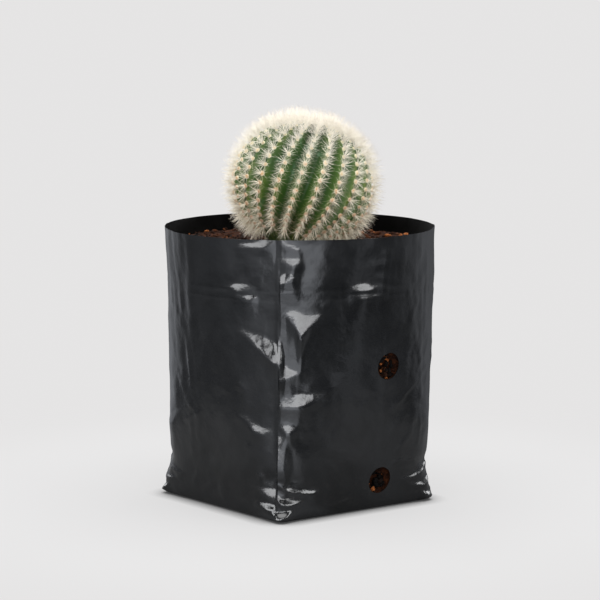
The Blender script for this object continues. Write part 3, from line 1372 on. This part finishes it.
def spine_place(root, outward, heading, lean, length, thick):
    """Place a spine at a root: heading turns it round the cushion, lean tips it off outward."""
    side = outward.orthogonal().normalized()
    side = Matrix.Rotation(heading, 3, outward) @ side
    aim = (outward * cos(lean) + side * sin(lean)).normalized()
    return placed(root, aim, (thick, thick, length), grow.uniform(0, 2 * pi))


def add_spines(row, root, outward, count, lean, spread, lengths, thick, age):
    """A ring of spines round a root, all leaning about as far from the outward direction."""
    for number in range(count):
        heading = 2 * pi * (number + grow.uniform(-0.35, 0.35)) / count
        tipped = radians(max(2, grow.gauss(lean, spread)))
        place = spine_place(root, outward, heading, tipped, grow.uniform(*lengths), thick)
        row.add(grow.choice(spines), place, along=along_spine, age=within(age + grow.gauss(0, 0.07)))
    return count


print("a spine is", round(2e3 * SPINE_BASE, 2), "mm thick at its root")

# %% [markdown]
# ## Growing the rows
# Every cushion on every rib gets three kinds of spine: a low ring over the furrows, a brush that
# stands out from the plant, and a few long thin ones that make the pale halo. Near the crown there
# are more of them, and over the growing tip they are short.

# %% Grow the rows


def grow_areole(row, wool, rib, latitude):
    """One cushion with its ring of low spines, its brush and its long ones."""
    root, outward = point_on_rib(rib, latitude, 0.0003)
    if root.z < SOIL_LEVEL - 0.002:
        return 0
    old = float(1 - ease((latitude - radians(-50)) / radians(95)))
    crowd = float(ease((latitude - radians(16)) / radians(30)))
    top = float(ease((latitude - radians(50)) / radians(20)))
    size = 0.00108 * (1 - 0.3 * crowd) * grow.uniform(0.9, 1.1)
    which = grow.randrange(len(cushions))
    wool.add(cushions[which], placed(root, outward, (size, size * 1.15, size * 0.75), grow.uniform(0, pi)),
             heart=hearts[which], age=within(old + grow.gauss(0, 0.05)))
    root = root + outward * 0.0003
    longer = 1 + 0.16 * crowd - 0.72 * top
    count = add_spines(row, root, outward, 16 + round(8 * crowd), 64 - 18 * crowd + 14 * top, 11,
                       (0.0046 * longer, 0.0063 * longer), SPINE_BASE * 0.82, min(1, old * 1.15))
    count += add_spines(row, root, outward, 12 + round(8 * crowd), 34 - 6 * crowd + 26 * top, 15,
                        (0.0050 * longer, 0.0067 * longer), SPINE_BASE, old * 0.55)
    count += add_spines(row, root, outward, 5, 15, 9, (0.0064, 0.0076), SPINE_BASE * 1.12, old * 0.4)
    return count


total = 0
for rib in range(RIBS):
    row, wool = Pile(), Pile()
    for at in areole_latitudes(rib):
        total += grow_areole(row, wool, rib, at)
    row_piece = row.finish(f"spines_of_rib_{rib + 1:02d}", spine_look)
    wool_piece = wool.finish(f"cushions_of_rib_{rib + 1:02d}", cushion_look)
    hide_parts(f"spine_row_{rib + 1:02d}")
print("spines on the ribs:", total)

# %% [markdown]
# ## Crown pad
# The growing point lies under a pad of wool. A ball is laid over the top of the globe: its flat
# distance from its axis becomes a distance down the plant's profile, and its upper half is lifted
# and made uneven. Its colour is a shade between wool and skin, so that the spines stand out on it.

# %% Crown pad
PAD_REACH = radians(19)
crown_bm = bmesh.new()
bmesh.ops.create_uvsphere(crown_bm, u_segments=64, v_segments=32, radius=1)
for vert in crown_bm.verts:
    flat = min(hypot(vert.co.x, vert.co.y), 1.0)
    heading = atan2(vert.co.y, vert.co.x)
    out, up = (float(v) for v in crest_profile(pi / 2 - flat * PAD_REACH))
    fluffed = 0.0006 * noise.noise(Vector((flat * 9 * cos(heading), flat * 9 * sin(heading), 2)))
    lift = -0.0004 + (0.0009 * max(vert.co.z, 0) + fluffed * max(vert.co.z, 0))
    point = Vector((out * cos(heading), out * sin(heading), up))
    vert.co = plant @ (point + point.normalized() * lift)
bmesh.ops.recalc_face_normals(crown_bm, faces=crown_bm.faces)
crown_mesh = stored_mesh("crown_pad", crown_bm)
crown_mesh.shade_smooth()

crown_look, tree, shader = new_material("crown_wool")
place = object_place(tree)
fluff = use_group(tree, mottle, Vector=place, Size=1500.0, Light=(0.58, 0.52, 0.40, 1),
                  Dark=(0.36, 0.29, 0.19, 1))["Color"]
set_inputs(tree, shader, Base_Color=fluff, Roughness=0.95, Sheen_Weight=0.4)
woolly = use_group(tree, grit, Vector=place, Coarse=1500.0, Fine=4500.0, Fine_share=0.6)["Height"]
add_bump(tree, shader, woolly, 0.9, 0.0004)
crown_mesh.materials.append(crown_look)
crown_pad = add_object("crown_pad", crown_mesh)
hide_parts("crown_wool")
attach(crown_pad, "root")
print("crown pad:", len(crown_mesh.polygons), "faces")

# %% [markdown]
# ## Young spines
# The youngest spines stand close together in the pad and round it. Most are short and lie over, and
# every eighth one is tall and upright. Turning each root by the golden angle from the one before
# spreads them evenly, as a plant does.

# %% Young spines
YOUNG = 2900
GOLDEN_ANGLE = 2.39996
young = Pile()
for number in range(YOUNG):
    away = radians(43) * (number / YOUNG) ** 0.60
    heading = number * GOLDEN_ANGLE
    out, up = (float(v) for v in crest_profile(pi / 2 - away))
    local = Vector((out * cos(heading), out * sin(heading), up))
    outward = (plant.to_3x3() @ Vector((local.x * 1.5, local.y * 1.5, local.z))).normalized()
    tall = number % 8 == 0
    lean = radians(abs(grow.gauss(6, 12) if tall else grow.gauss(44, 18)))
    length = grow.uniform(0.0054, 0.0066) if tall else grow.uniform(0.0014, 0.0026)
    thick = SPINE_BASE * (0.7 if tall else 1.15)
    root = plant @ local + outward * 0.0008 * max(0.0, 1 - (away / PAD_REACH) ** 2)
    place = spine_place(root, outward, grow.uniform(0, 2 * pi), lean, length, thick)
    young.add(grow.choice(spines), place, along=along_spine, age=max(0, grow.gauss(0.02, 0.05)))
young_piece = young.finish("young_spines", spine_look)
print("young spines:", YOUNG)

# %% [markdown]
# ## Roots
# The roots are inside the mix and out of sight. The solid model's own roots stay, with a dry,
# fibrous finish, so that they look right if someone tips the plant out.

# %% Root material
root_look, tree, shader = new_material("root_bark")
place = object_place(tree)
bark = use_group(tree, mottle, Vector=place, Size=600.0, Light=(0.42, 0.30, 0.18, 1),
                 Dark=(0.20, 0.12, 0.07, 1))["Color"]
set_inputs(tree, shader, Base_Color=bark, Roughness=0.85)
fibrous = use_group(tree, grit, Vector=place, Coarse=900.0, Fine=3000.0, Fine_share=0.5)["Height"]
add_bump(tree, shader, fibrous, 0.7, 0.0004)
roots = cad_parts["roots"]
roots.data.materials.clear()
roots.data.materials.append(root_look)
print("root material:", root_look.name)
